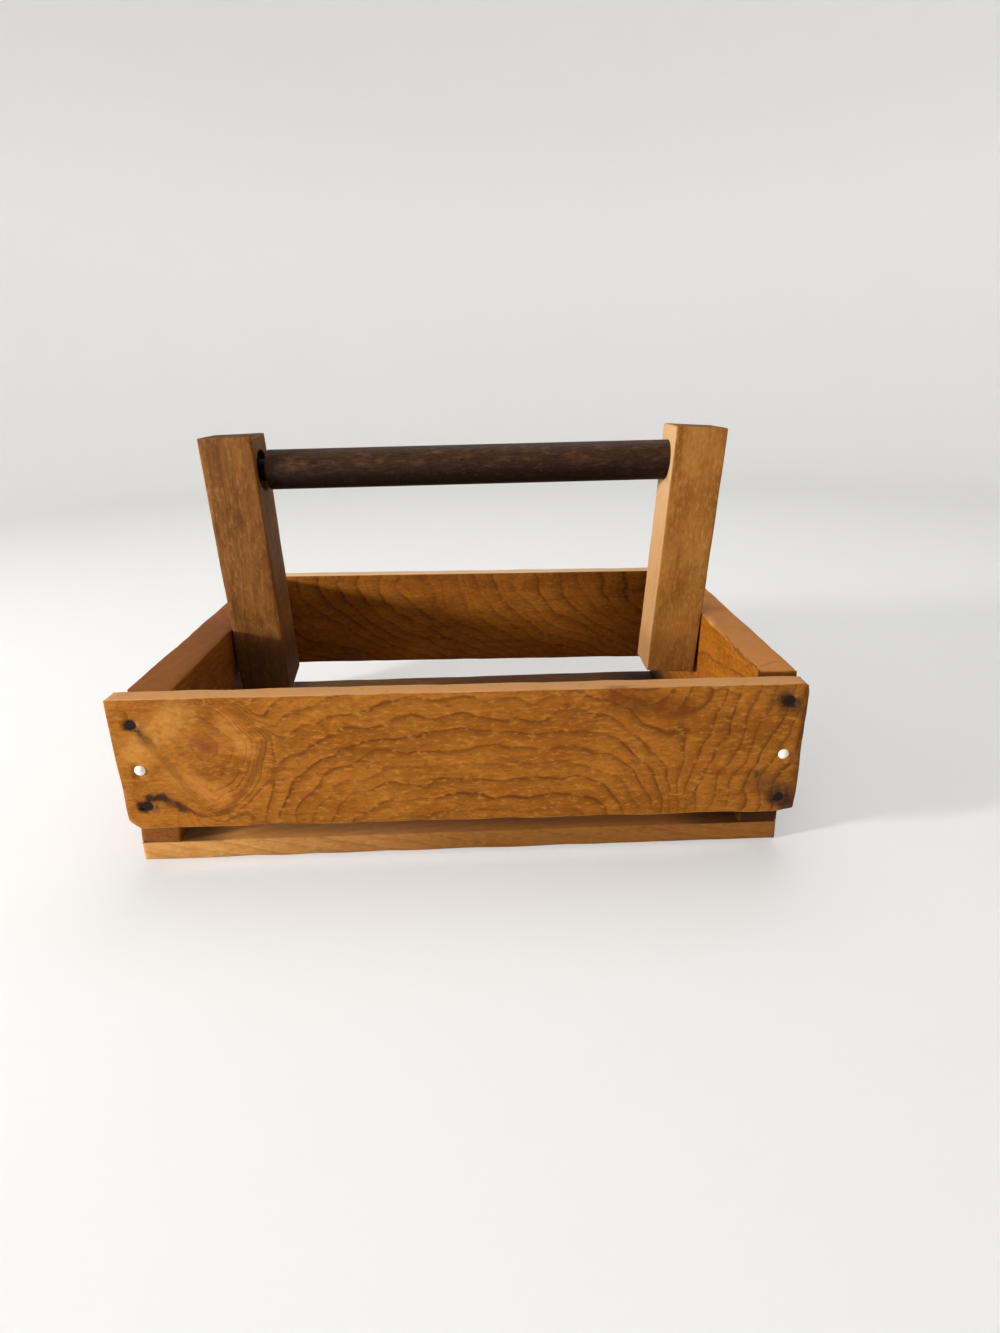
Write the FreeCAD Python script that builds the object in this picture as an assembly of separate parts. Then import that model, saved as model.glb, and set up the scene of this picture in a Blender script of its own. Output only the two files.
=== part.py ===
import FreeCAD, Part
import math
import os

os.makedirs("parts", exist_ok=True)

# Hand tote: a shallow tray of thin boards on two thick end boards, with a round handle between two posts.
# X runs along the handle, Y from front to back, Z up. Z = 0 is the underside of the slats.
# The origin is the middle of the footprint of the whole tote. Lengths are in mm, angles in degrees.

# Tray
board_thickness = 12.5          # side boards
side_board_length = 380.0
side_board_width = 80.0         # the boards' height when they stand on edge
side_board_inset = 2.5          # left ends of the side boards, in from the slats' left ends
side_board_overhang = 4.0       # right ends of the side boards, out past the slats' right ends
side_board_drop = 0.5           # side boards' top edge below the end boards' top
front_board_tilt = 0.45         # left end higher than the right end
back_board_tilt = 0.78
edge_ease = 0.8                 # rounding of every sawn edge

end_board_thickness = 23.0
end_board_height = 96.0         # along the inner face
end_board_length = 254.0        # front to back, between the side boards
left_end_lean = 6.2             # the left end board leans in over the tray
right_end_lean = 1.0            # the right one leans out a little

slat_thickness = 12.5
slat_count = 3
slat_gap = 7.0

# Splits at the lower corners of the front board
left_chip_length = 7.0
left_chip_height = 6.0
right_chip_length = 10.5
right_chip_height = 2.8

# Handle posts, square, standing against the inner top edges of the end boards
post_side = 34.0
post_length = 166.0
left_post_splay = 1.5           # posts lean apart towards their tops
right_post_splay = 3.9
left_post_lap = 40.3            # how far a post reaches down past the end board's top
right_post_lap = 42.4
left_foot_slant = 13.0          # the left post's foot is sawn out of square
right_foot_slant = 0.0
post_seat_clearance = 0.1       # between a post and the edge that it leans on

# Handle: a round bar that turns in blind sockets
handle_diameter = 25.4
handle_drop = 20.0              # axis below the right post's top
handle_edge_round = 1.0
shoulder_stand_off = 4.0        # the left shoulder stands this far out of its post
tenon_diameter = 14.0
tenon_depth = 18.0              # left socket's full depth, at the axis
mouth_diameter = 26.0           # wide mouth of the left socket
mouth_depth = 8.0
right_socket_depth = 14.0
running_clearance = 0.08        # radial, handle in socket
end_play = 0.5                  # between each end of the handle and the bottom of its socket

# Round steel nails
nail_diameter = 2.6
nail_head_diameter = 5.5
nail_head_thickness = 1.1
nail_point_length = 3.0
side_nail_length = 45.0
slat_nail_length = 34.0
left_nail_setback = 9.0         # from the end board's outer face, at the side board's mid height
right_nail_setback = 7.5
left_nail_spread = 50.0         # upper nail to lower nail
right_nail_spread = 60.0
slat_nail_spread = 40.0         # across the width of a slat
hole_clearance = 0.05           # radial, round each nail, pin and screw

# Pins with white domed heads
pin_diameter = 2.2
pin_length = 40.0
pin_head_diameter = 6.0
pin_head_height = 1.2
pin_drop = 2.6                  # below the side board's middle

# Countersunk screws that hold the posts
screw_diameter = 4.0
screw_head_diameter = 8.0
screw_head_height = 2.4
screw_length = 45.0
screw_slot_width = 1.0
screw_slot_depth = 1.0
screw_upper_drop = 11.0         # below the end board's inner top edge
screw_lower_drop = 27.0
screw_stagger = 14.0            # the two screws of a post, front to back

# Derived places
axis_x = FreeCAD.Vector(1, 0, 0)
axis_y = FreeCAD.Vector(0, 1, 0)
axis_z = FreeCAD.Vector(0, 0, 1)

slat_top = slat_thickness
slat_length = side_board_inset + side_board_length - side_board_overhang
slat_width = (end_board_length - (slat_count - 1) * slat_gap) / slat_count
end_face_y = end_board_length / 2
side_face_y = end_face_y + board_thickness


def half_span(tilt):
    """Half the width that a side board with eased edges covers once it is tilted."""
    angle = math.radians(tilt)
    flat_length = side_board_length / 2 - edge_ease
    flat_width = side_board_width / 2 - edge_ease
    return flat_length * math.cos(angle) + flat_width * math.sin(angle) + edge_ease


widest_half = max(half_span(front_board_tilt), half_span(back_board_tilt))
side_board_middle = side_board_inset + side_board_length / 2
overall_right = max(slat_length, side_board_middle + widest_half)
overall_left = min(0, side_board_middle - widest_half)
slat_left = -(overall_left + overall_right) / 2
slat_right = slat_left + slat_length
side_board_x = slat_left + side_board_middle
side_board_z = slat_top + end_board_height - side_board_drop - side_board_width / 2


class EndBoard:
    """One end board: side is -1 on the left and 1 on the right, lean is towards +X."""

    def __init__(self, side, lean, foot_x):
        self.side = side
        self.lean = lean
        self.foot_x = foot_x
        angle = math.radians(lean)
        inner_foot_x = foot_x - side * end_board_thickness / math.cos(angle)
        rise_x = end_board_height * math.sin(angle)
        rise_z = end_board_height * math.cos(angle)
        self.rest = FreeCAD.Vector(inner_foot_x + rise_x, 0, slat_top + rise_z)
        self.inward = FreeCAD.Vector(-side * math.cos(angle), 0, side * math.sin(angle))
        self.down = FreeCAD.Vector(-math.sin(angle), 0, -math.cos(angle))

    def outer_x(self, height):
        return self.foot_x + (height - slat_top) * math.tan(math.radians(self.lean))


class Post:
    """One handle post, leaning outward, its outer face on the end board's inner top edge."""

    def __init__(self, board, splay, lap, foot_slant):
        self.side = board.side
        self.turn = board.side * splay
        self.lap = lap
        self.foot_slant = foot_slant
        angle = math.radians(self.turn)
        inward = FreeCAD.Vector(-self.side * math.cos(angle), 0, self.side * math.sin(angle))
        self.up = FreeCAD.Vector(math.sin(angle), 0, math.cos(angle))
        self.seat = board.rest + inward * post_seat_clearance
        self.inner_point = self.seat + inward * post_side

    def inner_x(self, height):
        return self.inner_point.x + (height - self.inner_point.z) * math.tan(math.radians(self.turn))

    def top(self):
        return (self.seat + self.up * (post_length - self.lap)).z


left_end = EndBoard(-1, left_end_lean, slat_left)
right_end = EndBoard(1, right_end_lean, slat_right)
left_post = Post(left_end, left_post_splay, left_post_lap, left_foot_slant)
right_post = Post(right_end, right_post_splay, right_post_lap, right_foot_slant)

handle_z = right_post.top() - handle_drop
left_mouth_x = left_post.inner_x(handle_z)
right_mouth_x = right_post.inner_x(handle_z)


def turned(shape, angle, place):
    """The shape turned about Y and moved to its place."""
    shape.Placement = FreeCAD.Placement(place, FreeCAD.Rotation(axis_y, angle))
    return shape


def eased_box(size_x, size_y, size_z, corner):
    """A board with every edge slightly rounded, its lowest corner at the given point."""
    box = Part.makeBox(size_x, size_y, size_z, corner)
    return box.makeFillet(edge_ease, box.Edges)


def along(shape, place, direction):
    """A fastener built head first along +Z, turned to point in the given direction."""
    shape.Placement = FreeCAD.Placement(place, FreeCAD.Rotation(axis_z, direction))
    return shape


def nail(length, grow=0):
    """A round nail with its head flush at Z = 0. A positive grow gives the hole around it."""
    head = Part.makeCylinder(nail_head_diameter / 2 + grow, nail_head_thickness + grow)
    shank_length = length - nail_point_length
    shank = Part.makeCylinder(nail_diameter / 2 + grow, shank_length)
    point = Part.makeCone(nail_diameter / 2 + grow, grow, nail_point_length + grow)
    point.translate(axis_z * shank_length)
    return head.fuse([shank, point]).removeSplitter()


def pin(grow=0):
    """A headed pin, its domed head standing on Z = 0 and its shank going down the +Z way."""
    shank_length = pin_length - nail_point_length
    shank = Part.makeCylinder(pin_diameter / 2 + grow, shank_length)
    point = Part.makeCone(pin_diameter / 2 + grow, grow, nail_point_length + grow)
    point.translate(axis_z * shank_length)
    if grow:
        return shank.fuse(point).removeSplitter()
    head_radius = pin_head_diameter / 2
    ball_radius = (head_radius ** 2 + pin_head_height ** 2) / (2 * pin_head_height)
    ball = Part.makeSphere(ball_radius)
    ball.translate(axis_z * (ball_radius - pin_head_height))
    slab = Part.makeBox(pin_head_diameter, pin_head_diameter, pin_head_height)
    slab.translate(FreeCAD.Vector(-head_radius, -head_radius, -pin_head_height))
    dome = ball.common(slab)
    return dome.fuse([shank, point]).removeSplitter()


def screw(grow=0):
    """A countersunk slotted screw, its head flush at Z = 0. A positive grow gives the hole around it."""
    shank_length = screw_length - nail_point_length
    head = Part.makeCone(screw_head_diameter / 2 + grow, screw_diameter / 2 + grow, screw_head_height)
    shank = Part.makeCylinder(screw_diameter / 2 + grow, shank_length)
    point = Part.makeCone(screw_diameter / 2 + grow, grow, nail_point_length + grow)
    point.translate(axis_z * shank_length)
    whole = head.fuse([shank, point]).removeSplitter()
    if grow:
        return whole
    slot = Part.makeBox(screw_head_diameter, screw_slot_width, screw_slot_depth)
    slot.translate(FreeCAD.Vector(-screw_head_diameter / 2, -screw_slot_width / 2, 0))
    return whole.cut(slot)


def nail_rows(face):
    """X and the row heights of the nails at both ends of a side board, by its tilt."""
    tilt = front_board_tilt if face < 0 else back_board_tilt
    rows = []
    ends = ((left_end, left_nail_setback, left_nail_spread),
            (right_end, right_nail_setback, right_nail_spread))
    for board, setback, spread in ends:
        x = board.outer_x(side_board_z) - board.side * setback
        middle = side_board_z - (x - side_board_x) * math.tan(math.radians(tilt))
        rows.append((x, middle, spread))
    return rows


def side_nails(face, grow=0):
    """The four steel nails of the front (-1) or back (1) board."""
    nails = []
    for x, middle, spread in nail_rows(face):
        for half in (-spread / 2, spread / 2):
            place = FreeCAD.Vector(x, face * side_face_y, middle + half)
            nails.append(along(nail(side_nail_length, grow), place, axis_y * -face))
    return nails


def side_pins(face, grow=0):
    """The two headed pins of the front (-1) or back (1) board."""
    pins = []
    for x, middle, _ in nail_rows(face):
        place = FreeCAD.Vector(x, face * side_face_y, middle - pin_drop)
        pins.append(along(pin(grow), place, axis_y * -face))
    return pins


def slat_middle_y(index):
    return -end_face_y + slat_width / 2 + index * (slat_width + slat_gap)


def slat_nails(index, grow=0):
    """The four nails that go up through one slat into the end boards."""
    nails = []
    for board in (left_end, right_end):
        x = board.foot_x - board.side * end_board_thickness / 2
        for half in (-slat_nail_spread / 2, slat_nail_spread / 2):
            place = FreeCAD.Vector(x, slat_middle_y(index) + half, 0)
            nails.append(along(nail(slat_nail_length, grow), place, axis_z))
    return nails


def post_screws(board, grow=0):
    """Two screws square to the end board's outer face, into the post behind it."""
    screws = []
    for drop, half in ((screw_upper_drop, -screw_stagger / 2), (screw_lower_drop, screw_stagger / 2)):
        outer = board.rest - board.inward * end_board_thickness + board.down * drop
        place = outer + axis_y * half
        screws.append(along(screw(grow), place, board.inward))
    return screws


def all_side_holes():
    holes = []
    for face in (-1, 1):
        holes += side_nails(face, hole_clearance)
        holes += side_pins(face, hole_clearance)
    return holes


def side_board(near_y):
    """A thin board on edge, lying level about the origin, its face towards -Y at near_y."""
    corner = FreeCAD.Vector(-side_board_length / 2, near_y, -side_board_width / 2)
    return eased_box(side_board_length, board_thickness, side_board_width, corner)


def placed_side_board(shape, tilt, face):
    """The board tilted, moved to its place and bored for its nails and pins."""
    board = turned(shape, tilt, FreeCAD.Vector(side_board_x, 0, side_board_z))
    return board.cut(side_nails(face, hole_clearance) + side_pins(face, hole_clearance))


def corner_split(end, length, height):
    """The wedge missing from a lower corner of the front board: end is -1 left, 1 right."""
    tip = FreeCAD.Vector(end * side_board_length / 2, -side_face_y - edge_ease, -side_board_width / 2)
    along_edge = FreeCAD.Vector(-end * length, 0, 0)
    up_edge = FreeCAD.Vector(0, 0, height)
    outline = Part.makePolygon([tip, tip + along_edge, tip + up_edge, tip])
    return Part.Face(outline).extrude(axis_y * (board_thickness + 2 * edge_ease))


def front_board():
    left = corner_split(-1, left_chip_length, left_chip_height)
    right = corner_split(1, right_chip_length, right_chip_height)
    shape = side_board(-side_face_y).cut([left, right])
    return placed_side_board(shape, front_board_tilt, -1)


def back_board():
    return placed_side_board(side_board(end_face_y), back_board_tilt, 1)


def end_board(board):
    """A thick board on edge, sawn level at its foot and bored for every fastener that reaches it."""
    foot_wedge = end_board_thickness * math.tan(math.radians(abs(board.lean)))
    spare = foot_wedge + 2 * edge_ease
    height = end_board_height + foot_wedge + spare
    corner = FreeCAD.Vector(0, -end_face_y, -spare)
    if board.side > 0:
        corner.x = -end_board_thickness
    shape = eased_box(end_board_thickness, end_board_length, height, corner)
    shape = turned(shape, board.lean, FreeCAD.Vector(board.foot_x, 0, slat_top))
    below = Part.makeBox(slat_length + 2 * spare, 2 * side_face_y, slat_top + spare)
    below.translate(FreeCAD.Vector(slat_left - spare, -side_face_y, -spare))
    holes = all_side_holes() + post_screws(board, hole_clearance)
    for index in range(slat_count):
        holes += slat_nails(index, hole_clearance)
    return shape.cut([below]).cut(holes)


def slat(index):
    corner = FreeCAD.Vector(slat_left, slat_middle_y(index) - slat_width / 2, 0)
    board = eased_box(slat_length, slat_width, slat_thickness, corner)
    return board.cut(slat_nails(index, hole_clearance))


def post_blank(post):
    """The square post before boring, standing in its place."""
    half = post_side / 2
    drop = post_side * math.tan(math.radians(post.foot_slant))
    outline = [
        FreeCAD.Vector(0, -half, -drop),
        FreeCAD.Vector(0, half, 0),
        FreeCAD.Vector(0, half, post_length),
        FreeCAD.Vector(0, -half, post_length),
    ]
    face = Part.Face(Part.makePolygon(outline + outline[:1]))
    blank = face.extrude(axis_x * (-post.side * post_side))
    blank = blank.makeFillet(edge_ease, blank.Edges)
    foot = post.seat - post.up * post.lap
    return turned(blank, post.turn, foot)


def bore(radius, mouth_x, depth, side):
    """A level round hole into a post, starting a little in front of its inner face."""
    start = FreeCAD.Vector(mouth_x - side * post_side / 2, 0, handle_z)
    return Part.makeCylinder(radius, post_side / 2 + depth, start, axis_x * side)


def left_handle_post():
    tenon = bore(tenon_diameter / 2 + running_clearance, left_mouth_x, tenon_depth, -1)
    mouth = bore(mouth_diameter / 2, left_mouth_x, mouth_depth, -1)
    return post_blank(left_post).cut([tenon, mouth] + post_screws(left_end, hole_clearance))


def right_handle_post():
    socket = bore(handle_diameter / 2 + running_clearance, right_mouth_x, right_socket_depth, 1)
    return post_blank(right_post).cut([socket] + post_screws(right_end, hole_clearance))


def handle_dowel():
    """The round handle: full size to its right end, with a turned tenon on the left."""
    shoulder_x = left_mouth_x + shoulder_stand_off
    right_x = right_mouth_x + right_socket_depth - end_play
    tenon_x = left_mouth_x - tenon_depth + end_play
    bar = Part.makeCylinder(
        handle_diameter / 2, right_x - shoulder_x, FreeCAD.Vector(shoulder_x, 0, handle_z), axis_x
    )
    rims = [edge for edge in bar.Edges if edge.Curve.TypeId == "Part::GeomCircle"]
    bar = bar.makeFillet(handle_edge_round, rims)
    tenon = Part.makeCylinder(
        tenon_diameter / 2, shoulder_x - tenon_x, FreeCAD.Vector(tenon_x, 0, handle_z), axis_x
    )
    return bar.fuse(tenon).removeSplitter()


def group(shapes):
    return Part.makeCompound(shapes)


def save(name, shape):
    shape.exportStep("parts/" + name + ".step")
    print(name, len(shape.Solids), "solids", round(shape.Volume), "mm3")


slat_names = ["bottom_slat_front", "bottom_slat_middle", "bottom_slat_rear"]

save("front_board", front_board())
save("back_board", back_board())
save("left_end_board", end_board(left_end))
save("right_end_board", end_board(right_end))
for index, name in enumerate(slat_names):
    save(name, slat(index))
save("left_handle_post", left_handle_post())
save("right_handle_post", right_handle_post())
save("handle_dowel", handle_dowel())
save("front_board_nails", group(side_nails(-1)))
save("back_board_nails", group(side_nails(1)))
save("front_board_pins", group(side_pins(-1)))
save("back_board_pins", group(side_pins(1)))
save("slat_nails", group([one for index in range(slat_count) for one in slat_nails(index)]))
save("left_post_screws", group(post_screws(left_end)))
save("right_post_screws", group(post_screws(right_end)))
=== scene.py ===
import math

import bmesh
import bpy
from mathutils import Matrix, Vector, noise


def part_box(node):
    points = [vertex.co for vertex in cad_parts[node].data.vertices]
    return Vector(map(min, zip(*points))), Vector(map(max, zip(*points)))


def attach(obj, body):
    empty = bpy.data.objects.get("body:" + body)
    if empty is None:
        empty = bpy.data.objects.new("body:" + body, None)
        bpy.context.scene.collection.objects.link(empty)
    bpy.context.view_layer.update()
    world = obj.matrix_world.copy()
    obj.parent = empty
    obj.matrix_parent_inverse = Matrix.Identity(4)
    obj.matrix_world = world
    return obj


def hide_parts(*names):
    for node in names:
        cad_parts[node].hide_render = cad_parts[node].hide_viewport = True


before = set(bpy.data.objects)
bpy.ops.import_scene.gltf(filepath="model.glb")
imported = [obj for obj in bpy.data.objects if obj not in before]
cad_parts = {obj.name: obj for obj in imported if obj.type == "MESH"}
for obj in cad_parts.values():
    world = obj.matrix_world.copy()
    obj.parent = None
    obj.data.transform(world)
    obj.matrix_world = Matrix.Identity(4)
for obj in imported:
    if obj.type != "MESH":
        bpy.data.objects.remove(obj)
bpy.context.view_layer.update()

mm = 0.001
perMm = (1 / mm,) * 3
sharpAngle = math.radians(38)  # edges that turn more than this stay crisp


def ink(red, green, blue):  # a colour as a paint chart gives it, 0 to 255, for the shader
    def straight(level):
        level /= 255
        return level / 12.92 if level <= 0.04045 else ((level + 0.055) / 1.055) ** 2.4
    return (straight(red), straight(green), straight(blue), 1)


class sheet:  # one material's nodes, with short calls for those used over and over
    def __init__(self, name):
        self.material = bpy.data.materials.new(name)
        self.material.use_nodes = True
        self.tree = self.material.node_tree
        self.tree.nodes.clear()

    def add(self, kind, **settings):
        made = self.tree.nodes.new(kind)
        for key, value in settings.items():
            setattr(made, key, value)
        return made

    def feed(self, socket, value):
        if isinstance(value, bpy.types.NodeSocket):
            self.tree.links.new(value, socket)
        elif value is not None:
            socket.default_value = value

    def calc(self, operation, first, second=None):
        made = self.add("ShaderNodeMath", operation=operation)
        for socket, value in zip(made.inputs, (first, second)):
            self.feed(socket, value)
        return made.outputs[0]

    def plus(self, first, second):
        return self.calc("ADD", first, second)

    def minus(self, first, second):
        return self.calc("SUBTRACT", first, second)

    def times(self, first, second):
        return self.calc("MULTIPLY", first, second)

    def over(self, first, second):
        return self.calc("DIVIDE", first, second)

    def least(self, first, second):
        return self.calc("MINIMUM", first, second)

    def most(self, first, second):
        return self.calc("MAXIMUM", first, second)

    def power(self, value, exponent):
        return self.calc("POWER", value, exponent)

    def unsigned(self, value):
        return self.calc("ABSOLUTE", value)

    def flip(self, share):  # 0 becomes 1 and 1 becomes 0
        return self.calc("SUBTRACT", 1.0, share)

    def between(self, value, low, high):  # 0 below low, 1 above high, smooth in between
        made = self.add("ShaderNodeMapRange", interpolation_type="SMOOTHSTEP")
        self.feed(made.inputs["Value"], value)
        made.inputs["From Min"].default_value = low
        made.inputs["From Max"].default_value = high
        return made.outputs["Result"]

    def split(self, vector):
        made = self.add("ShaderNodeSeparateXYZ")
        self.feed(made.inputs[0], vector)
        return made.outputs[0], made.outputs[1], made.outputs[2]

    def join(self, x, y, z):
        made = self.add("ShaderNodeCombineXYZ")
        for socket, value in zip(made.inputs, (x, y, z)):
            self.feed(socket, value)
        return made.outputs[0]

    def stretch(self, vector, factors):
        made = self.add("ShaderNodeVectorMath", operation="MULTIPLY")
        self.feed(made.inputs[0], vector)
        made.inputs[1].default_value = factors
        return made.outputs[0]

    def clouds(self, vector, size, detail=3.0, rough=0.55):  # size is the width of a patch
        made = self.add("ShaderNodeTexNoise", noise_dimensions="3D")
        self.feed(made.inputs["Vector"], vector)
        made.inputs["Scale"].default_value = 1 / size
        made.inputs["Detail"].default_value = detail
        made.inputs["Roughness"].default_value = rough
        return made.outputs["Fac"]

    def grain(self, vector, factors, detail=3.0, rough=0.55):  # clouds drawn out along the wood
        return self.clouds(self.stretch(vector, factors), 1.0, detail, rough)

    def drift(self, vector, size, amount, detail=2.0):  # the vector pushed about by clouds
        made = self.add("ShaderNodeTexNoise", noise_dimensions="3D")
        self.feed(made.inputs["Vector"], vector)
        made.inputs["Scale"].default_value = 1 / size
        made.inputs["Detail"].default_value = detail
        middle = self.add("ShaderNodeVectorMath", operation="SUBTRACT")
        self.feed(middle.inputs[0], made.outputs["Color"])
        middle.inputs[1].default_value = (0.5, 0.5, 0.5)
        push = self.add("ShaderNodeVectorMath", operation="MULTIPLY")
        self.feed(push.inputs[0], middle.outputs[0])
        push.inputs[1].default_value = amount
        total = self.add("ShaderNodeVectorMath", operation="ADD")
        self.feed(total.inputs[0], vector)
        self.feed(total.inputs[1], push.outputs[0])
        return total.outputs[0]

    def blend(self, share, first, second, kind="MIX"):
        made = self.add("ShaderNodeMix", data_type="RGBA", blend_type=kind)
        self.feed(made.inputs[0], share)
        self.feed(made.inputs[6], first)
        self.feed(made.inputs[7], second)
        return made.outputs[2]

    def tint(self, color, tone, mask, share):  # a tone laid over the colour where the mask is 1
        return self.blend(self.times(mask, share), color, tone)

    def finish(self, color, height, relief, rough, **fixed):
        shader = self.add("ShaderNodeBsdfPrincipled")
        bump = self.add("ShaderNodeBump")
        bump.inputs["Strength"].default_value = 1.0
        bump.inputs["Distance"].default_value = relief
        self.feed(bump.inputs["Height"], height)
        self.feed(shader.inputs["Base Color"], color)
        self.feed(shader.inputs["Roughness"], rough)
        self.feed(shader.inputs["Normal"], bump.outputs[0])
        for key, value in fixed.items():
            shader.inputs[key.replace("_", " ")].default_value = value
        out = self.add("ShaderNodeOutputMaterial")
        self.feed(out.inputs["Surface"], shader.outputs[0])
        return self.material


def smoothMesh(made, mesh):  # the finished faces, smooth but for the crisp edges
    for face in made.faces:
        face.smooth = True
    made.to_mesh(mesh)
    made.free()
    mesh.set_sharp_from_angle(angle=sharpAngle)


def placeOf(node, lean):  # middle and half sizes of a leaning piece, in its own straight axes
    back = Matrix.Rotation(-math.radians(lean), 3, "Y")
    corners = [back @ vertex.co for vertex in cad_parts[node].data.vertices]
    low = Vector([min(c[axis] for c in corners) for axis in range(3)])
    high = Vector([max(c[axis] for c in corners) for axis in range(3)])
    return (low + high) / 2, (high - low) / 2


def cutLines(half, cell):  # where the mesh is cut across one axis: closer near the two ends
    near = [0.4 * mm, 1.2 * mm, 2.4 * mm, 4.5 * mm]
    lines = [half - step for step in near if step < half]
    count = max(1, int(2 * half / cell))
    inner = [-half + 2 * half * step / count for step in range(1, count)]
    return sorted({round(line, 6) for line in inner + lines + [-line for line in lines]})


def roundedCorner(place, half, look):  # the move that takes a corner of the broad face onto an arc
    shift = Vector((0, 0, 0))
    first, second = ("XYZ".index(letter) for letter in look["axes"][:2])
    own = Vector((math.copysign(3, place[first]), math.copysign(7, place[second]), look["seed"] * 5))
    radius = look["corner"] * (1 + noise.noise(own * 0.37))
    insideFirst = radius - (half[first] - abs(place[first]))
    insideSecond = radius - (half[second] - abs(place[second]))
    away = math.hypot(insideFirst, insideSecond)
    if min(insideFirst, insideSecond) > 0 and away > radius:
        shift[first] = -math.copysign(insideFirst * (1 - radius / away), place[first])
        shift[second] = -math.copysign(insideSecond * (1 - radius / away), place[second])
    return shift


def cutFine(made, half, cell):  # straight cuts across the solid, which give the wear points to move
    for axis in range(3):
        direction = Vector([float(axis == other) for other in range(3)])
        for line in cutLines(half[axis], cell):
            geometry = made.verts[:] + made.edges[:] + made.faces[:]
            bmesh.ops.bisect_plane(made, geom=geometry, dist=0.0005 * mm,
                                   plane_co=direction * line, plane_no=direction)


def rubDepth(place, gap, seed, look):  # how much wood is gone here, with the next arris gap away
    rub = max(0.0, noise.noise(place / look["rubSize"] + seed) + 0.35)
    fine = 0.5 + noise.noise(place / (look["rubSize"] / 5) + seed)
    depth = look["rub"] * (0.25 + rub ** 1.5 * (0.6 + 0.6 * fine))
    depth *= math.exp(-(gap / look["rubReach"]) ** 1.5)
    for chipX, chipZ, radius, deep in look["chips"]:
        reach = math.hypot(place.x - chipX * mm, place.z - chipZ * mm) / (radius * mm)
        if reach < 1:
            bowl = deep * mm * (1 - reach * reach)
            depth += bowl * math.exp(-gap / (2 * mm)) * (0.7 + 0.5 * fine)
    return depth


def wear(made, half, look):  # rubs the arrises, hollows the faces and rounds the corners
    seed = Vector((look["seed"], 0, 0))
    for vertex in made.verts:
        place = vertex.co.copy()
        gaps = sorted((half[axis] - abs(place[axis]), axis) for axis in range(3))
        faceGap, faceAxis = gaps[0]
        if faceGap > look["skin"]:
            continue  # the wall of a bore
        depth = rubDepth(place, gaps[1][0], seed, look)
        shift = Vector((0, 0, 0))
        for gap, axis in gaps[:2]:
            weight = 1.0 if gap < look["skin"] else math.exp(-gap / look["rubReach"])
            shift[axis] -= math.copysign(depth * weight * 0.7, place[axis])
        if faceGap < 0.2 * mm:
            hollow = look["wave"] * max(0.0, 0.5 + noise.noise(place / look["waveSize"] + seed * 2))
            shift[faceAxis] -= math.copysign(hollow, place[faceAxis])
        vertex.co = place + shift + roundedCorner(place, half, look)


def wornPiece(node, body, look):  # the sawn piece as years of use leave it
    middle, half = placeOf(node, look["lean"])
    back = Matrix.Rotation(-math.radians(look["lean"]), 4, "Y")
    made = bmesh.new()
    made.from_mesh(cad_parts[node].data)
    made.transform(Matrix.Translation(-middle) @ back)
    bmesh.ops.remove_doubles(made, verts=made.verts, dist=0.001 * mm)
    bmesh.ops.dissolve_limit(made, angle_limit=math.radians(0.5), verts=made.verts, edges=made.edges)
    cutFine(made, half, look["cell"])
    made.normal_update()
    wear(made, half, look)
    bmesh.ops.triangulate(made, faces=[face for face in made.faces if len(face.verts) > 4])
    made.transform(back.inverted() @ Matrix.Translation(middle))
    mesh = bpy.data.meshes.new(node + "_worn")
    smoothMesh(made, mesh)
    piece = bpy.data.objects.new(node + "_worn", mesh)
    bpy.context.scene.collection.objects.link(piece)
    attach(piece, body)
    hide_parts(node)
    mesh.materials.append(woodFinish(node, middle, half, look))
    print("worn piece", node, len(mesh.polygons), "faces")


def straightRings(paper, along, across, deep, look):  # rings round a pith that runs along the piece
    pithAcross, pithDeep = look["pith"]
    awayAcross = paper.minus(across, pithAcross)
    awayDeep = paper.minus(deep, pithDeep)
    squares = paper.plus(paper.times(awayAcross, awayAcross), paper.times(awayDeep, awayDeep))
    count = paper.over(paper.calc("SQRT", squares), look["ring"])
    return paper.plus(count, paper.times(along, look["taper"]))


def ownPlace(paper, coords, middle, lean):  # millimetres from the piece's middle, on its own axes
    place = paper.add("ShaderNodeMapping", vector_type="POINT")
    paper.feed(place.inputs["Vector"], coords.outputs["Object"])
    place.inputs["Scale"].default_value = perMm
    place.inputs["Rotation"].default_value = (0, -math.radians(lean), 0)
    place.inputs["Location"].default_value = -middle / mm
    return paper.split(place.outputs[0])


def ownGrain(paper, grained, seed):  # moved away, so that no two pieces share their grain
    shifted = paper.add("ShaderNodeVectorMath", operation="ADD")
    paper.feed(shifted.inputs[0], grained)
    shifted.inputs[1].default_value = (seed * 97.0, seed * 31.0, seed * 53.0)
    return shifted.outputs[0]


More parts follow.
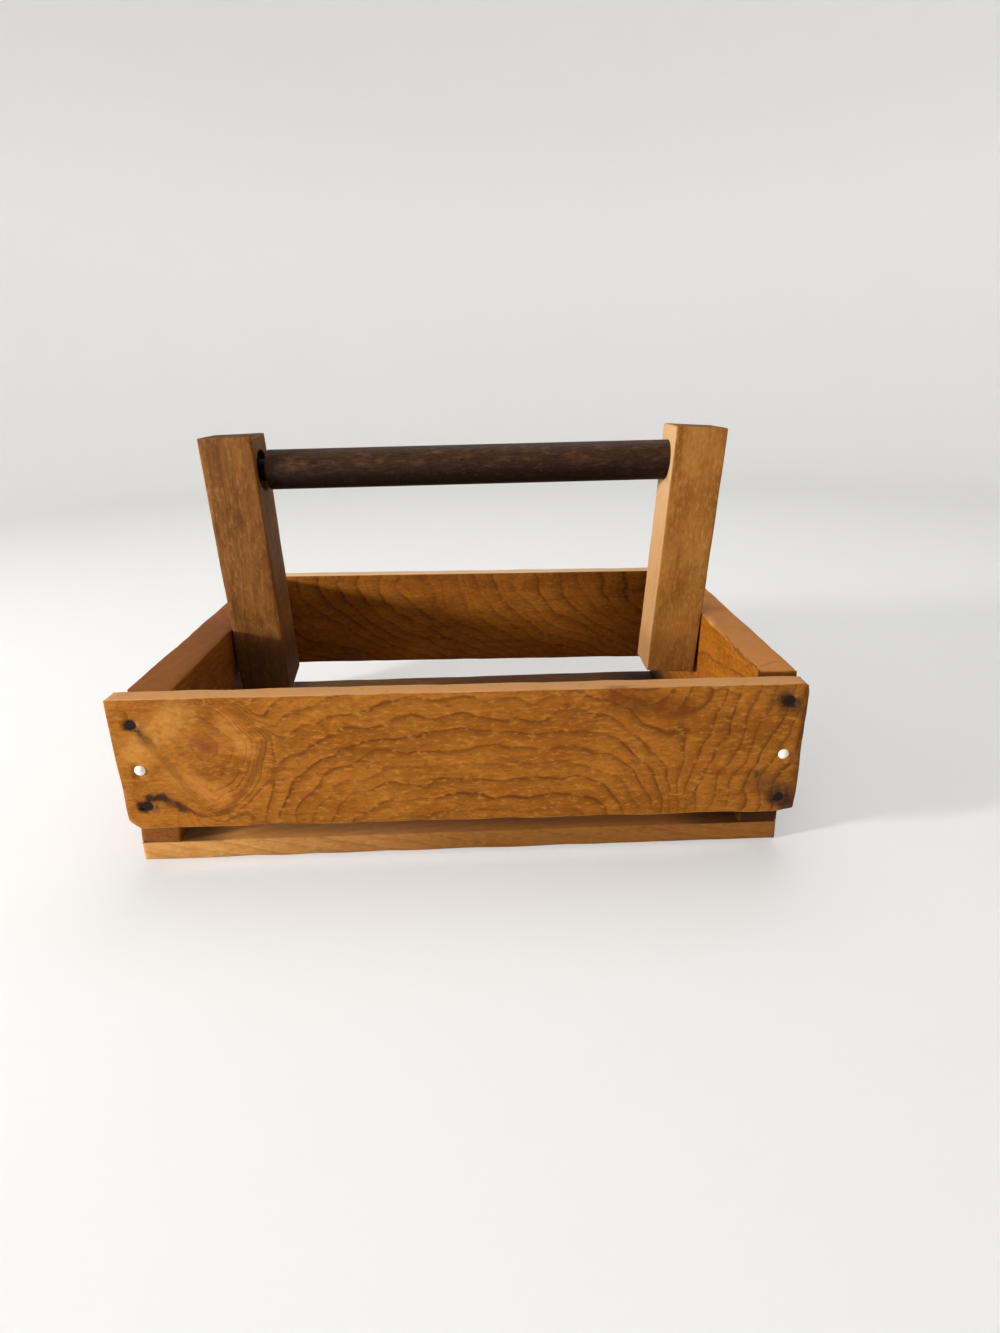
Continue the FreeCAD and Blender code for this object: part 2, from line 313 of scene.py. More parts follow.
def lateWood(paper, grained, own, look):  # 1 on the dark line that ends a ring, 0 between the lines
    bend, waver = look["bend"], look["waver"]
    bent = paper.drift(grained, look["bendSize"], (bend * 0.5, bend, bend * 0.6))
    bent = paper.drift(bent, look["waverSize"], (waver,) * 3, 1.0)
    along, across, deep = paper.split(bent)
    uneven = paper.clouds(paper.stretch(own, (0.35, 1, 1)), 26.0)
    rings = look["rings"](paper, along, across, deep, look)
    rings = paper.plus(rings, paper.times(uneven, look["uneven"]))
    number = paper.calc("FLOOR", rings)
    step = paper.minus(rings, number)
    year = paper.add("ShaderNodeTexWhiteNoise", noise_dimensions="1D")
    paper.feed(year.inputs["W"], number)  # some years leave a stronger line
    broken = paper.between(paper.clouds(paper.stretch(own, (0.4, 1, 1)), 14.0, 3.0), 0.25, 0.6)
    strength = paper.plus(paper.times(year.outputs["Value"], 0.45), 0.55)
    strength = paper.times(strength, paper.plus(0.45, paper.times(broken, 0.55)))
    fall = paper.flip(paper.between(step, 0.88, 1.0))
    fineLine = paper.between(step, look["lineFrom"], 0.92)
    shade = paper.times(paper.between(step, 0.25, 0.95), look["shade"])
    late = paper.times(paper.times(paper.most(fineLine, shade), fall), strength)
    thirds = paper.calc("FRACT", paper.times(rings, 3.0))
    faint = paper.times(paper.between(thirds, 0.6, 0.9), paper.between(thirds, 1.0, 0.92))
    late = paper.most(late, paper.times(faint, look["faint"]))
    if look["quiet"]:
        late = paper.times(late, look["quiet"](paper, along, across, look))
    return late


def endGrain(paper, normal, look):  # 1 where a face looks along the grain, 0 where it looks across
    x, y, z = paper.split(normal)
    lean = math.radians(look["lean"])
    if look["axes"][0] == "X":
        facing = paper.minus(paper.times(x, math.cos(lean)), paper.times(z, math.sin(lean)))
    elif look["axes"][0] == "Z":
        facing = paper.plus(paper.times(x, math.sin(lean)), paper.times(z, math.cos(lean)))
    else:
        facing = y
    return paper.between(paper.unsigned(facing), 0.6, 0.9)


def toArris(paper, local, half):  # millimetres to the nearest arris
    gaps = [paper.minus(half[axis] / mm, paper.unsigned(local[axis])) for axis in range(3)]
    lower = paper.least(gaps[0], gaps[1])
    upper = paper.most(gaps[0], gaps[1])
    return paper.most(lower, paper.least(upper, gaps[2]))


def woodFinish(node, middle, half, look):
    paper = sheet(node + "_wood")
    coords = paper.add("ShaderNodeTexCoord")
    local = ownPlace(paper, coords, middle, look["lean"])
    order = ["XYZ".index(letter) for letter in look["axes"]]  # along the grain, across it, through
    grained = paper.join(*[local[axis] for axis in order])
    own = ownGrain(paper, grained, look["seed"])
    late = lateWood(paper, grained, own, look)
    hairs = paper.grain(own, (0.05, 1.6, 1.6), 4.0, 0.65)
    bands = paper.grain(own, (0.012, 0.16, 0.16))
    patches = paper.grain(own, (0.02, 0.045, 0.045), 4.0, 0.6)
    mottle = paper.grain(own, (0.22, 0.5, 0.5), 4.0, 0.6)
    flecks = paper.grain(own, (0.35, 0.9, 0.9), 3.0, 0.7)
    color = paper.blend(paper.between(patches, 0.35, 0.68), look["pale"], look["deepTone"])
    color = paper.tint(color, look["dark"], paper.between(bands, 0.5, 0.75), 0.5)
    color = paper.tint(color, look["line"], late, look["lateShare"])
    color = paper.tint(color, look["dark"], paper.between(hairs, 0.52, 0.75), look["hair"])
    color = paper.tint(color, look["glow"], paper.between(mottle, 0.5, 0.72), look["mottle"])
    color = paper.tint(color, look["dark"], paper.between(mottle, 0.46, 0.28), look["mottle"])
    color = paper.tint(color, look["line"], paper.between(flecks, 0.6, 0.7), look["flecks"])
    height = paper.plus(paper.times(late, 0.35), paper.times(hairs, 0.9))
    # end grain drinks more finish, so it is darker and duller
    ends = endGrain(paper, coords.outputs["Normal"], look)
    speck = paper.grain(own, (0.3, 2.2, 2.2), 2.0)
    endTone = paper.blend(paper.between(speck, 0.4, 0.65), look["endTone"], look["line"])
    color = paper.tint(color, endTone, ends, 0.75)
    # narrow sawn edges took less varnish
    narrow = order[1]
    fromEdge = paper.minus(half[narrow] / mm, paper.unsigned(local[narrow]))
    color = paper.tint(color, look["edgeTone"], paper.between(fromEdge, 0.9, 0.3), look["edgeShare"])
    # rubbed arrises are paler where the finish has gone
    rubWidth = look["rubWidth"]
    uneven = paper.times(paper.clouds(own, 5.0, 4.0, 0.7), rubWidth)
    ragged = paper.plus(toArris(paper, local, half), uneven)
    rubbed = paper.flip(paper.between(ragged, rubWidth * 0.35, rubWidth * 1.1))
    color = paper.tint(color, look["rubTone"], rubbed, look["rubShare"])
    # grime, the piece's own marks and painted shade, and shallow dents
    dirt = paper.clouds(own, 11.0, 5.0, 0.7)
    color = paper.tint(color, look["grimeTone"], paper.between(dirt, 0.6, 0.78), look["grime"])
    if look["marks"]:
        color = look["marks"](paper, color, local, look)
    height = paper.plus(height, paper.times(paper.clouds(own, 7.0, 2.0), 1.2))
    rough = paper.plus(look["rough"], paper.times(paper.minus(dirt, 0.5), 0.5))
    rough = paper.plus(rough, paper.times(ends, 0.15))
    return paper.finish(color, height, look["relief"], rough, Coat_Weight=look["coat"],
                        Coat_Roughness=0.3, Specular_IOR_Level=look["shine"])


# What all the boards share; each piece's own dictionary says where it differs
plainLook = dict(
    lean=0.0, cell=9 * mm, seed=1.0, skin=1.2 * mm, corner=1.6 * mm, chips=(),
    rub=0.9 * mm, rubSize=22 * mm, rubReach=1.6 * mm, wave=0.2 * mm, waveSize=40 * mm,
    axes="XZY", rings=straightRings, pith=(10.0, -60.0), ring=4.2, taper=0.03, quiet=None, marks=None,
    bend=6.0, bendSize=70.0, waver=1.2, waverSize=9.0, uneven=0.8, lineFrom=0.72, shade=0.5,
    pale=ink(158, 96, 28), deepTone=ink(134, 78, 16), dark=ink(106, 58, 10),
    line=ink(90, 46, 6), glow=ink(180, 116, 44), endTone=ink(92, 54, 18),
    lateShare=0.8, faint=0.25, hair=0.3, mottle=0.5, flecks=0.4,
    edgeShare=0.5, edgeTone=ink(184, 132, 80),
    rubWidth=1.6, rubShare=0.45, rubTone=ink(180, 124, 66),
    grime=0.35, grimeTone=ink(78, 42, 14),
    rough=0.58, coat=0.015, shine=0.07, relief=0.2 * mm,
)


def archRings(paper, along, across, look):  # nested arches that stand on the board's lower edge
    beside = paper.minus(paper.unsigned(paper.minus(along, look["archMiddle"])), look["archFlat"])
    sideways = paper.over(paper.most(beside, 0.0), look["archSpread"])
    upward = paper.most(paper.minus(across, look["archFoot"]), 0.0)
    bulge = look["archSquare"]
    total = paper.plus(paper.power(sideways, bulge), paper.power(upward, bulge))
    return paper.plus(paper.over(paper.power(total, 1 / bulge), look["ring"]), look["archPhase"])


def farRings(paper, along, across, look):  # steep, slightly leaning lines beyond the arches
    leaning = paper.minus(along, paper.times(across, look["farLean"]))
    return paper.plus(paper.over(leaning, look["farRing"]), look["farPhase"])


def fromKnot(paper, along, across, look):  # away from a knot whose loops reach further down than up
    aside = paper.minus(along, look["knot"][0])
    upward = paper.minus(across, look["knot"][1])
    below = paper.times(paper.least(upward, 0.0), look["knotBelow"])
    above = paper.times(paper.most(upward, 0.0), look["knotAbove"])
    corner = look["knotSquare"]
    rim = paper.plus(paper.power(paper.unsigned(aside), corner),
                     paper.power(paper.unsigned(paper.plus(below, above)), corner))
    return paper.power(rim, 1 / corner)


def archedRings(paper, along, across, deep, look):  # flat-sawn figure: arches and one knot
    far = paper.between(along, *look["farSpan"])
    arches = paper.plus(paper.times(farRings(paper, along, across, look), far),
                        paper.times(archRings(paper, along, across, look), paper.flip(far)))
    away = fromKnot(paper, along, across, look)
    knotRings = paper.plus(paper.over(away, look["knotRing"]), look["knotPhase"])
    share = paper.between(away, look["knotHold"], look["knotEnd"])
    mixed = paper.plus(paper.times(arches, share), paper.times(knotRings, paper.flip(share)))
    return paper.plus(mixed, paper.over(deep, look["ringDepth"]))


def sweptRings(paper, along, across, deep, look):  # lines that fall and sweep to the right
    below = paper.minus(look["sweepTop"], across)
    swept = paper.over(paper.times(below, below), look["sweep"])
    count = paper.over(paper.minus(along, swept), look["ring"])
    return paper.plus(count, paper.over(deep, look["ringDepth"]))


def quietEnd(paper, along, across, look):  # the figure fades out on the far side of the knot
    return paper.plus(0.3, paper.times(paper.between(along, *look["quietSpan"]), 0.7))


def streak(paper, across, up, start, end, width):  # widths away from a line between two points
    run = (end[0] - start[0], end[1] - start[1])
    length = run[0] ** 2 + run[1] ** 2
    fromStart = (paper.minus(across, start[0]), paper.minus(up, start[1]))
    dot = paper.plus(paper.times(fromStart[0], run[0]), paper.times(fromStart[1], run[1]))
    share = paper.least(paper.most(paper.over(dot, length), 0.0), 1.0)
    offX = paper.minus(fromStart[0], paper.times(share, run[0]))
    offZ = paper.minus(fromStart[1], paper.times(share, run[1]))
    squares = paper.plus(paper.times(offX, offX), paper.times(offZ, offZ))
    return paper.over(paper.calc("SQRT", squares), width)


def stained(paper, color, local, look):
    # Marks on one face, each run along a line: iron stain round nails, a knot's core, a split, a strip
    # of painted shade
    across, up, through, side = look["stainAxes"]
    wandering = paper.split(paper.drift(paper.join(*local), 5.0, (look["stainDrift"],) * 3))
    outside = paper.between(paper.times(local[through], side), *look["stainFrom"])
    patchy = paper.between(paper.clouds(paper.join(*local), 4.0, 4.0, 0.7), 0.36, 0.6)
    outside = paper.times(outside, paper.plus(0.5, paper.times(patchy, 0.5)))
    for start, end, width, tone, share in look["stains"]:
        away = streak(paper, wandering[across], wandering[up], start, end, width)
        color = paper.tint(color, tone, paper.times(paper.between(away, 1.15, 0.2), outside), share)
    return color


def shadedFoot(paper, color, local, look):  # painted shade low down, inside and in the slot
    inside = paper.between(local[0], *look["insideSkin"])
    front = paper.between(local[1], *look["frontSkin"])
    low = paper.times(paper.between(local[2], *look["footSpan"]), paper.most(inside, front))
    return stained(paper, paper.tint(color, look["footShadeTone"], low, look["footShadeShare"]), local, look)


# Places on a board are in millimetres from its middle; a stain is start, end, half width, tone, share
frontBoard = dict(
    plainLook, lean=0.45, seed=1.3, rings=archedRings, cell=6 * mm,
    archMiddle=7.0, archFlat=50.0, archFoot=-50.0, archSpread=0.95, archSquare=1.9, ring=9.8,
    ringDepth=9.0, archPhase=0.6,
    farSpan=(100.0, 140.0), farLean=0.35, farRing=9.0, farPhase=-4.5,
    knot=(-141.0, 14.0), knotSquare=1.35, knotBelow=0.78, knotAbove=1.15,
    knotRing=9.0, knotPhase=0.35, knotHold=24.0, knotEnd=48.0,
    quiet=quietEnd, quietSpan=(-168.0, -128.0),
    bend=18.0, bendSize=46.0, waver=7.0, waverSize=20.0, uneven=0.6, lateShare=0.95, faint=0.12,
    lineFrom=0.55, shade=0.55,
    pale=ink(158, 97, 29), deepTone=ink(136, 79, 18), dark=ink(110, 61, 12),
    line=ink(88, 44, 8), glow=ink(178, 116, 46), mottle=0.75, flecks=0.6,
    edgeShare=0.9, edgeTone=ink(190, 138, 86), rubShare=0.6, rubTone=ink(204, 150, 88), corner=3.0 * mm,
    chips=[  # where, how wide and how deep
        (-189.0, -36.0, 5.0, 0.6),
        (187.0, -38.0, 9.0, 0.8),
        (188.0, 38.0, 6.0, 0.7),
        (-60.0, 40.0, 5.0, 0.5),
    ],
    marks=stained, stainAxes=(0, 2, 1, -1.0), stainFrom=(2.0, 4.0), stainDrift=5.0,
    stains=[
        ((-141.0, 14.0), (-139.0, 13.0), 13.0, ink(150, 84, 34), 0.6),
        ((-141.0, 13.0), (-139.0, 11.0), 5.5, ink(118, 58, 24), 0.7),
        ((-178.0, 8.0), (-152.0, 30.0), 13.0, ink(204, 142, 66), 0.5),
        ((-128.0, 26.0), (-118.0, 8.0), 7.0, ink(198, 132, 60), 0.45),
        ((-158.0, -6.0), (-136.0, -20.0), 9.0, ink(196, 130, 56), 0.5),
        ((84.0, 34.0), (122.0, 26.0), 10.0, ink(104, 52, 12), 0.85),
        ((168.0, -19.0), (184.0, -30.0), 11.0, ink(98, 58, 30), 0.7),
        ((-177.0, 24.0), (-170.0, 15.0), 4.0, ink(72, 46, 20), 0.9),
        ((-170.0, 15.0), (-158.0, -7.0), 3.4, ink(122, 74, 28), 0.75),
        ((-158.0, -7.0), (-150.0, -21.0), 3.0, ink(128, 76, 26), 0.65),
        ((-178.5, 25.5), (-175.0, 22.5), 3.6, ink(34, 24, 14), 0.95),
        ((-180.0, -26.0), (-174.0, -21.0), 4.6, ink(46, 27, 17), 0.92),
        ((-175.0, -20.0), (-168.0, -19.5), 4.0, ink(40, 23, 14), 0.93),
        ((-168.0, -20.0), (-160.0, -26.0), 3.8, ink(52, 29, 17), 0.9),
        ((-180.0, -26.0), (-174.0, -27.0), 4.2, ink(26, 18, 13), 0.95),
        ((-161.0, -24.0), (-156.0, -28.5), 3.2, ink(66, 34, 16), 0.85),
        ((-158.0, -26.0), (-147.0, -33.0), 1.6, ink(84, 44, 16), 0.75),
        ((-147.0, -33.0), (-133.0, -30.0), 1.8, ink(92, 50, 14), 0.7),
        ((-133.0, -30.0), (-116.0, -8.0), 2.2, ink(112, 62, 18), 0.6),
        ((-116.0, -8.0), (-105.0, 16.0), 2.4, ink(116, 66, 20), 0.6),
        ((-105.0, 16.0), (-122.0, 34.0), 2.4, ink(116, 66, 20), 0.5),
        ((165.0, -15.5), (166.5, -15.0), 1.8, ink(70, 40, 20), 0.8),
        ((174.0, 31.0), (187.0, 27.0), 9.5, ink(88, 56, 26), 0.75),
        ((177.5, 30.5), (181.0, 28.5), 5.4, ink(20, 15, 13), 0.97),
        ((179.0, -28.0), (187.0, -35.0), 9.0, ink(54, 32, 24), 0.9),
        ((181.0, -32.0), (188.0, -36.0), 6.5, ink(40, 24, 20), 0.95),
        # painted shade along the rounded right end
        ((189.5, 34.0), (189.5, -38.0), 4.8, ink(92, 52, 22), 0.75),
    ],
)
backBoard = dict(
    plainLook, lean=0.78, seed=2.6, rings=sweptRings, cell=8 * mm,
    sweepTop=35.0, sweep=52.0, ring=19.0, ringDepth=12.0,
    bend=24.0, bendSize=56.0, waver=6.0, waverSize=20.0, uneven=0.5,
    faint=0.3, lateShare=0.85, lineFrom=0.66, shade=0.6,
    pale=ink(146, 88, 26), deepTone=ink(124, 70, 16), dark=ink(98, 52, 10),
    line=ink(58, 26, 2), glow=ink(164, 104, 42),
    edgeShare=0.9, edgeTone=ink(214, 176, 134), rubTone=ink(176, 120, 66),
)
leftEnd = dict(
    plainLook, lean=6.2, seed=3.1, axes="YZX", pith=(-30.0, 24.0), ring=5.0, taper=0.012, bend=6.0,
    pale=ink(150, 86, 24), deepTone=ink(126, 68, 14), dark=ink(98, 52, 10),
    edgeShare=0.85, edgeTone=ink(136, 78, 30), endTone=ink(126, 80, 38), rubTone=ink(172, 112, 60),
)
rightEnd = dict(
    plainLook, lean=1.0, seed=4.4, axes="YZX", pith=(14.0, -34.0), ring=6.0, taper=0.02, bend=9.0,
    pale=ink(152, 90, 20), deepTone=ink(134, 76, 12), dark=ink(100, 52, 8),
    # the end tone here is darkened as painted shade, like the slot under the front board
    edgeShare=0.9, edgeTone=ink(182, 118, 56), endTone=ink(60, 34, 14), rubTone=ink(200, 136, 70),
    # the foot tone is painted shade, low on the inside and on the end in the slot
    marks=shadedFoot, insideSkin=(-9.0, -11.0), frontSkin=(-125.5, -126.3),
    footSpan=(-28.0, -42.0), footShadeShare=0.85, footShadeTone=ink(52, 27, 8),
    stainAxes=(0, 1, 2, 1.0), stainFrom=(46.0, 47.5), stainDrift=2.5,
    stains=[
        ((-9.8, -128.0), (-10.8, -88.0), 1.1, ink(84, 44, 14), 0.85),
        ((-10.8, -88.0), (-9.6, -62.0), 0.8, ink(96, 52, 18), 0.7),
        ((-6.0, -118.0), (4.0, -112.0), 1.4, ink(132, 78, 30), 0.7),
        ((-10.0, -127.5), (11.0, -127.0), 1.3, ink(104, 58, 22), 0.8),
        ((-11.0, -40.0), (-8.0, -24.0), 3.5, ink(206, 146, 88), 0.6),
    ],
)


def slatShadeAndTone(paper, color, local, look):  # painted shade on top and in the corners, darker to the right
    upper = paper.between(local[2], *look["topSpan"])
    # painted shade on the top face, in the shadow of the front board
    color = paper.tint(color, look["topTone"], upper, look["topShadeShare"])
    leftNook, rightNook = (paper.between(local[0], *span) for span in look["nookSpans"])
    nook = paper.times(paper.most(leftNook, rightNook), upper)
    # painted shade in the corners by the end boards' feet
    color = paper.tint(color, look["nookShadeTone"], nook, look["nookShadeShare"])
    return paper.blend(paper.between(local[0], *look["darkSpan"]), color, look["darkEnd"], "MULTIPLY")


slatFront = dict(
    plainLook, seed=5.2, axes="XYZ", pith=(20.0, -50.0), ring=4.5, marks=slatShadeAndTone,
    darkSpan=(-170.0, 50.0), darkEnd=(0.48, 0.38, 0.25, 1), edgeShare=0.3,
    # the top tone is painted shade
    topSpan=(5.4, 5.95), topShadeShare=0.7, topTone=ink(150, 104, 58),
    # the nook tone is painted shade
    nookSpans=((-132.0, -156.0), (118.0, 150.0)), nookShadeShare=0.72, nookShadeTone=ink(44, 26, 12),
    pale=ink(192, 136, 74), deepTone=ink(162, 106, 46), dark=ink(118, 72, 26), line=ink(88, 50, 14),
    glow=ink(210, 158, 94), edgeTone=ink(200, 148, 86),
)
slatMiddle = dict(slatFront, seed=6.7, pith=(-26.0, -40.0))
slatRear = dict(slatFront, seed=7.9, pith=(8.0, 46.0), deepTone=ink(146, 90, 40))


def bareInside(paper, color, local, look):  # the face towards the handle was left almost bare, and painted shade darkens the foot
    inward = paper.between(paper.times(local[0], look["inward"]), *look["insideSkin"])
    low = paper.between(local[2], *look["footSpan"])
    high = paper.plus(0.6, paper.times(paper.between(local[2], *look["bareSpan"]), 0.4))
    color = paper.tint(color, look["bareTone"], paper.times(inward, high), look["bareShare"])
    # painted shade on the lower part of the post
    return paper.tint(color, look["footShadeTone"], low, look["footShadeShare"])


postLook = dict(
    plainLook, axes="ZXY", rub=0.7 * mm, lateShare=0.45, edgeShare=0.0,
    marks=bareInside, insideSkin=(15.4, 16.4), bareSpan=(-20.0, 60.0),
)
leftPost = dict(
    postLook, lean=-1.5, seed=8.3, pith=(42.0, -20.0), ring=7.0, taper=0.012, bend=7.0, waver=2.4,
    shade=0.7, faint=0.2, hair=0.28, flecks=0.25,
    pale=ink(128, 82, 37), deepTone=ink(100, 60, 21), dark=ink(78, 44, 13), line=ink(60, 31, 7),
    glow=ink(156, 104, 52), endTone=ink(88, 56, 28),
    inward=1.0, bareShare=0.5, bareTone=ink(118, 66, 20),
    # the foot tone is painted shade low on the post
    footSpan=(-38.0, -58.0), footShadeShare=0.6, footShadeTone=ink(48, 26, 12),
)
rightPost = dict(
    postLook, lean=3.9, seed=9.6, pith=(10.0, 52.0), ring=6.5, taper=0.016, bend=8.0, waver=2.6,
    shade=0.6, faint=0.25, hair=0.4,
    pale=ink(166, 112, 52), deepTone=ink(140, 88, 32), dark=ink(114, 64, 20), line=ink(100, 54, 14),
    glow=ink(188, 136, 74), endTone=ink(124, 86, 48),
    inward=-1.0, bareShare=0.85, bareTone=ink(182, 146, 104),
    # the foot tone is painted shade low on the post
    footSpan=(-50.0, -70.0), footShadeShare=0.35, footShadeTone=ink(92, 56, 24),
)

wornPiece("front_board", "tote", frontBoard)
wornPiece("back_board", "tote", backBoard)
wornPiece("left_end_board", "tote", leftEnd)
wornPiece("right_end_board", "tote", rightEnd)
wornPiece("bottom_slat_front", "tote", slatFront)
wornPiece("bottom_slat_middle", "tote", slatMiddle)
wornPiece("bottom_slat_rear", "tote", slatRear)
wornPiece("left_handle_post", "tote", leftPost)
wornPiece("right_handle_post", "tote", rightPost)

handleLook = {
    "tone": ink(56, 33, 18), "worn": ink(90, 59, 36), "streak": ink(20, 11, 6),
    "rough": 0.42, "shine": 0.1, "relief": 0.2 * mm,
    "underSpan": (8.0, -6.0), "darkSide": ink(18, 10, 6),  # painted shade on the dowel's underside
    "shoulderIn": 21.4, "socket": ink(12, 8, 6),  # the tenon inside the left post, coloured near black as painted shade
}


def handleFinish(look):
    paper = sheet("handle_stain")
    coords = paper.add("ShaderNodeTexCoord")
    own = paper.stretch(coords.outputs["Object"], perMm)
    x, _, z = paper.split(own)
    leftEndPoint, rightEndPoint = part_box("handle_dowel")
    hairs = paper.grain(own, (0.16, 0.9, 0.9), 5.0, 0.7)
    rubbed = paper.grain(own, (0.1, 0.3, 0.3), 5.0, 0.7)
    nicks = paper.grain(own, (0.3, 0.9, 0.9))
    color = paper.blend(paper.between(rubbed, 0.46, 0.72), look["tone"], look["worn"])
    fromAxis = paper.minus(z, (leftEndPoint.z + rightEndPoint.z) / 2 / mm)
    # painted shade: the underside is coloured darker, as if lit from above
    color = paper.tint(color, look["darkSide"], paper.between(fromAxis, *look["underSpan"]), 0.85)
    color = paper.tint(color, look["streak"], paper.between(hairs, 0.5, 0.66), 0.8)
    color = paper.tint(color, look["worn"], paper.between(nicks, 0.6, 0.7), 0.4)
    # painted shade: the tenon in the left socket is coloured near black
    shoulder = leftEndPoint.x / mm + look["shoulderIn"]
    tenonShadeMask = paper.flip(paper.between(x, shoulder - 0.3, shoulder + 0.2))
    color = paper.blend(tenonShadeMask, color, look["socket"])
    height = paper.plus(hairs, paper.times(nicks, 0.8))
    rough = paper.plus(look["rough"], paper.times(rubbed, 0.2))
    return paper.finish(color, height, look["relief"], rough, Specular_IOR_Level=look["shine"])


def metalFinish(name, look):
    paper = sheet(name)
    coords = paper.add("ShaderNodeTexCoord")
    crust = paper.clouds(paper.stretch(coords.outputs["Object"], perMm), 0.9, 5.0, 0.7)
    rusted = paper.between(crust, look["rustFrom"], look["rustFrom"] + 0.12)
    color = paper.blend(rusted, look["tone"], look["rust"])
    rough = paper.plus(look["rough"], paper.times(crust, 0.3))
    return paper.finish(color, crust, look["relief"], rough, Metallic=look["metallic"],
                        Specular_IOR_Level=look["shine"])


def setFinish(node, material):
    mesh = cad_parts[node].data
    mesh.materials.clear()
    mesh.materials.append(material)


metalLook = dict(rustFrom=0.5, metallic=0.0, shine=0.15, relief=0.15 * mm)
nailLook = dict(metalLook, tone=ink(26, 20, 18), rust=ink(52, 28, 16), rough=0.75)
pinLook = dict(metalLook, tone=ink(238, 234, 224), rust=ink(206, 196, 176), rustFrom=0.62, rough=0.3)
screwLook = dict(metalLook, tone=ink(150, 144, 134), rust=ink(112, 74, 48), metallic=0.8, rough=0.42)

setFinish("handle_dowel", handleFinish(handleLook))
rustBlack = metalFinish("rusted_nail", nailLook)
for nails in ("front_board_nails", "back_board_nails", "slat_nails"):
    setFinish(nails, rustBlack)
enamel = metalFinish("pin_enamel", pinLook)
for pins in ("front_board_pins", "back_board_pins"):
    setFinish(pins, enamel)
dullSteel = metalFinish("screw_steel", screwLook)
for screws in ("left_post_screws", "right_post_screws"):
    setFinish(screws, dullSteel)
print("fasteners and handle finished")

stage = {
    "floorTone": ink(226, 225, 222), "flat": 1.6, "bend": 0.7, "wall": 2.4, "steps": 16, "around": 72,
    "rough": 0.6, "paleShare": 0.25, "paleTone": (0.97, 0.98, 1.0, 1),
}


def seenPaler(paper, look):  # the backdrop looks paler than it is, and casts no more light for it
    rays = paper.add("ShaderNodeLightPath")
    seen = paper.most(rays.outputs["Is Camera Ray"], rays.outputs["Is Glossy Ray"])
    white = paper.add("ShaderNodeEmission")
    white.inputs["Color"].default_value = look["paleTone"]
    out = next(node for node in paper.tree.nodes if node.type == "OUTPUT_MATERIAL")
    painted = out.inputs["Surface"].links[0].from_socket
    both = paper.add("ShaderNodeMixShader")
    paper.feed(both.inputs[0], paper.times(seen, look["paleShare"]))
    paper.feed(both.inputs[1], painted)
    paper.feed(both.inputs[2], white.outputs[0])
    paper.feed(out.inputs["Surface"], both.outputs[0])


def roundStage(look):  # a pale floor that curves up into a wall all the way round
    profile = [(0.0, 0.0), (look["flat"], 0.0)]
    for step in range(1, look["steps"] + 1):
        angle = math.pi / 2 * step / look["steps"]
        outward = look["flat"] + look["bend"] * math.sin(angle)
        profile.append((outward, look["bend"] * (1 - math.cos(angle))))
    profile.append((look["flat"] + look["bend"], look["wall"]))
    made = bmesh.new()
    loops = []
    for radius, height in profile[1:]:
        turns = [2 * math.pi * step / look["around"] for step in range(look["around"])]
        around = [(radius * math.cos(turn), radius * math.sin(turn), height) for turn in turns]
        loops.append([made.verts.new(place) for place in around])
    made.faces.new(loops[0])
    for inner, outer in zip(loops, loops[1:]):
        for step in range(look["around"]):
            after = (step + 1) % look["around"]
            made.faces.new((inner[step], outer[step], outer[after], inner[after]))
    mesh = bpy.data.meshes.new("studio_floor")
    smoothMesh(made, mesh)
    floor = bpy.data.objects.new("studio_floor", mesh)
    bpy.context.scene.collection.objects.link(floor)
    paper = sheet("studio_paint")
    coords = paper.add("ShaderNodeTexCoord")
    grit = paper.clouds(coords.outputs["Object"], 4 * mm, 2.0)
    mesh.materials.append(paper.finish(look["floorTone"], grit, 0.02 * mm, look["rough"]))
    seenPaler(paper, look)


roundStage(stage)

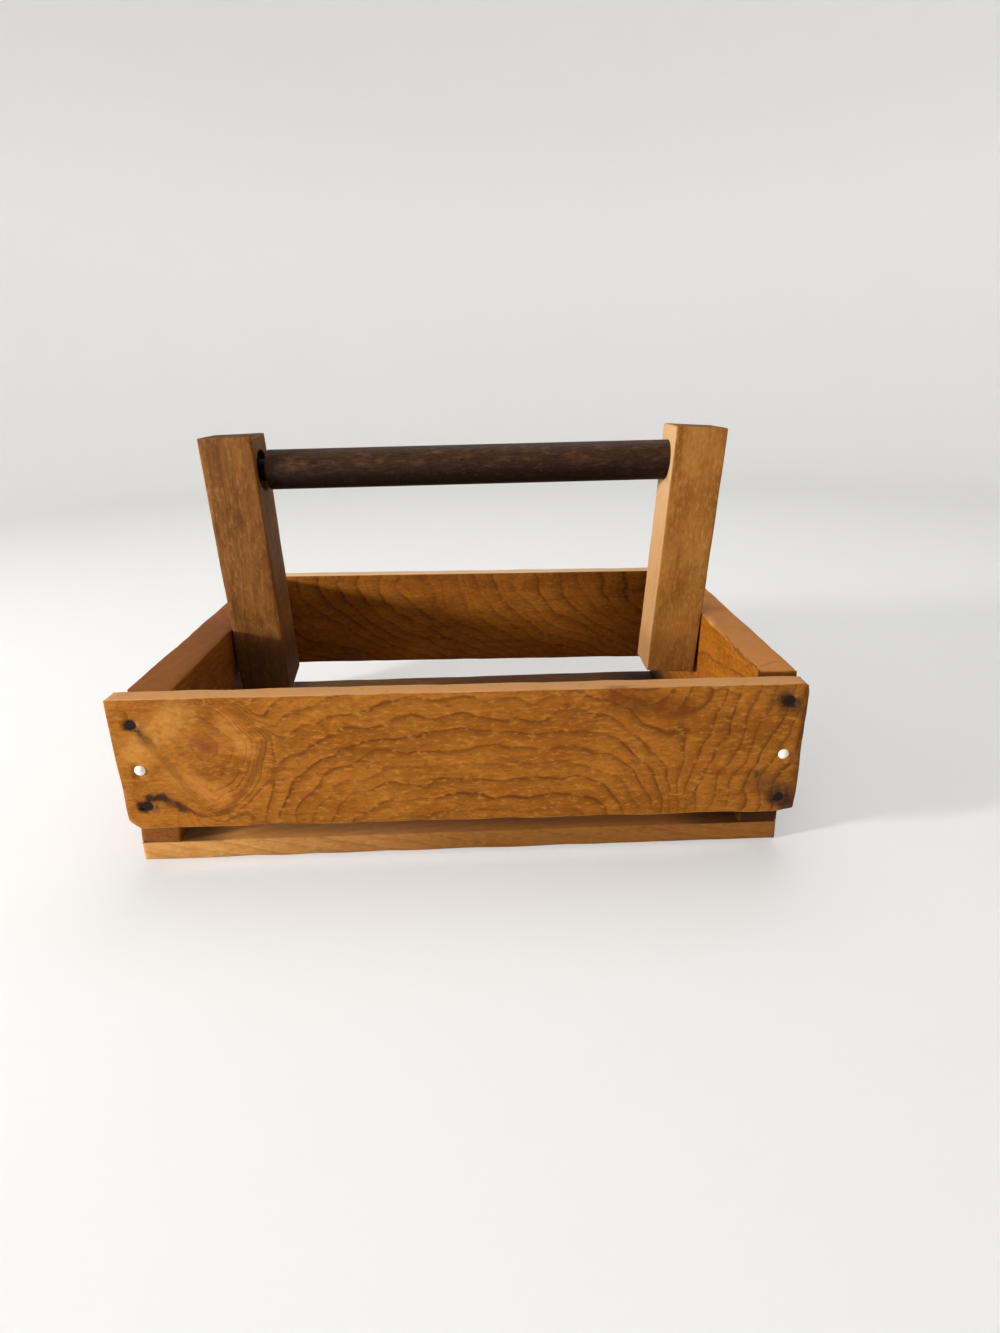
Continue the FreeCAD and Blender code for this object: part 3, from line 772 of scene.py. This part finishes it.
lamps = {
    "window": {"from": (-1.70, -0.62, 0.45), "size": 0.2, "power": 51.0, "tone": (1.0, 0.99, 0.97)},
    "key": {"from": (-0.55, -1.24, 0.95), "size": 0.4, "power": 2.5, "tone": (1.0, 0.99, 0.97)},
    "above": {"from": (0.15, 0.5, 1.6), "size": 1.2, "power": 12.0, "tone": (1.0, 1.0, 1.0)},
}
aim = Vector((0, 0, 0.1))  # all of them point at the middle of the tote
for name, lamp in lamps.items():
    light = bpy.data.lights.new(name, "AREA")
    light.shape = "SQUARE"
    light.size = lamp["size"]
    light.energy = lamp["power"]
    light.color = lamp["tone"]
    holder = bpy.data.objects.new(name, light)
    holder.location = lamp["from"]
    holder.rotation_euler = (aim - holder.location).to_track_quat("-Z", "Y").to_euler()
    bpy.context.scene.collection.objects.link(holder)

surround = {"tone": (0.96, 0.98, 1.0, 1), "strength": 0.26}  # faint light from every side
world = bpy.data.worlds.new("studio")
world.use_nodes = True
background = world.node_tree.nodes["Background"]
background.inputs["Color"].default_value = surround["tone"]
background.inputs["Strength"].default_value = surround["strength"]
bpy.context.scene.world = world

camera = {
    "place": (15.93 * mm, -510.84 * mm, 262.31 * mm), "turn": 1.084, "down": 20.755, "roll": -1.387,
    "sensor": 36, "focal": 751, "frameHeight": 1333,  # the last two in pixels
}


def placeCamera(look):
    turn, down, roll = (math.radians(look[key]) for key in ("turn", "down", "roll"))
    ahead = Vector((math.sin(turn) * math.cos(down), math.cos(turn) * math.cos(down), -math.sin(down)))
    right = Vector((math.cos(turn), -math.sin(turn), 0))
    up = right.cross(ahead)
    rolledRight = right * math.cos(roll) + up * math.sin(roll)
    rolledUp = up * math.cos(roll) - right * math.sin(roll)
    holder = bpy.data.objects.new("camera", bpy.data.cameras.new("camera"))
    holder.data.lens = look["sensor"] * look["focal"] / look["frameHeight"]
    holder.data.sensor_width = look["sensor"]
    holder.data.clip_start = 0.01
    facing = Matrix((rolledRight, rolledUp, -ahead)).transposed()
    holder.matrix_world = Matrix.Translation(look["place"]) @ facing.to_4x4()
    bpy.context.scene.collection.objects.link(holder)
    bpy.context.scene.camera = holder


placeCamera(camera)
bpy.context.scene.view_settings.view_transform = "Standard"
print("stage, lamps and camera in place")
